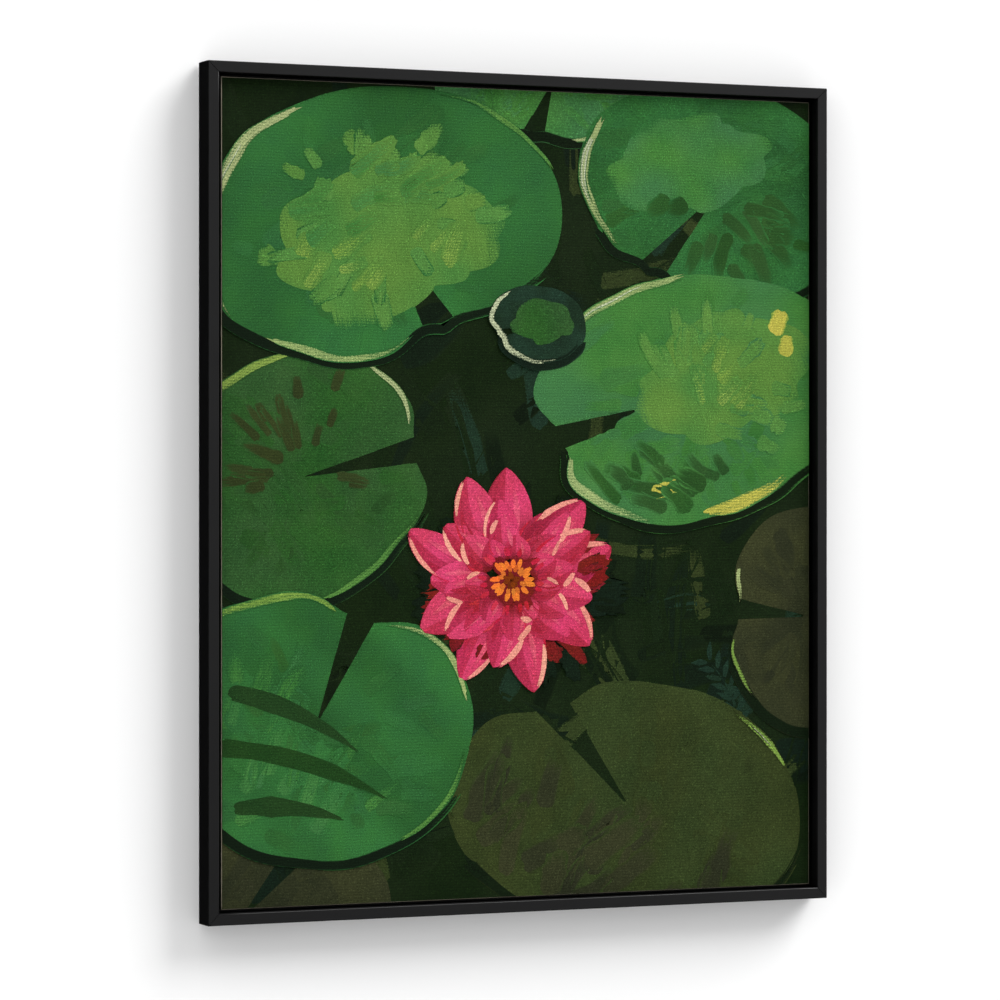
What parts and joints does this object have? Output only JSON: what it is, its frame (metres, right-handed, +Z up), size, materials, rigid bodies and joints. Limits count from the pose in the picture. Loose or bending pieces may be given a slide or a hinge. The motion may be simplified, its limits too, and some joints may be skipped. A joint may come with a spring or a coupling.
{
  "type": "framed canvas print",
  "caption": "Portrait canvas picture of a lily pond, stretched on wooden bars and set with a shadow gap in a black floater frame, with hangers and bumpers at the back.",
  "frame": {"origin": "middle of the whole object's box, wall bumpers included", "axes": "+Z up the picture, +X to the right as it is looked at, +Y backwards to the wall; the picture faces -Y"},
  "size_m": [0.6402, 0.0276, 0.789],
  "materials": {
    "frame": "satin black paint",
    "canvas": "primed cotton canvas, painted in acrylic greens with a pink lily",
    "pine": "planed, unfinished",
    "beech": "sawn, unfinished",
    "steel": "zinc plated",
    "rubber": "matt"
  },
  "bodies": {
    "root": {"canvas": "canvas", "corner_key_bottom_a": "beech", "corner_key_bottom_b": "beech", "corner_key_left_a": "beech", "corner_key_left_b": "beech", "corner_key_right_a": "beech", "corner_key_right_b": "beech", "corner_key_top_a": "beech", "corner_key_top_b": "beech", "cross_brace": "pine", "frame_rail_bottom": "frame", "frame_rail_top": "frame", "frame_stile_left": "frame", "frame_stile_right": "frame", "hanger_tack_left_a": "steel", "hanger_tack_left_b": "steel", "hanger_tack_right_a": "steel", "hanger_tack_right_b": "steel", "joint_nail_bottom_left": "steel", "joint_nail_bottom_right": "steel", "joint_nail_top_left": "steel", "joint_nail_top_right": "steel", "sawtooth_hanger_left": "steel", "sawtooth_hanger_right": "steel", "screw_bottom_a": "steel", "screw_bottom_b": "steel", "screw_left_a": "steel", "screw_left_b": "steel", "screw_right_a": "steel", "screw_right_b": "steel", "screw_top_a": "steel", "screw_top_b": "steel", "staple_bottom_1": "steel", "staple_bottom_2": "steel", "staple_bottom_3": "steel", "staple_bottom_4": "steel", "staple_left_1": "steel", "staple_left_2": "steel", "staple_left_3": "steel", "staple_left_4": "steel", "staple_left_5": "steel", "staple_right_1": "steel", "staple_right_2": "steel", "staple_right_3": "steel", "staple_right_4": "steel", "staple_right_5": "steel", "staple_top_1": "steel", "staple_top_2": "steel", "staple_top_3": "steel", "staple_top_4": "steel", "stretcher_bar_bottom": "pine", "stretcher_bar_left": "pine", "stretcher_bar_right": "pine", "stretcher_bar_top": "pine", "wall_bumper_left": "rubber", "wall_bumper_right": "rubber"}
  },
  "joints": []
}
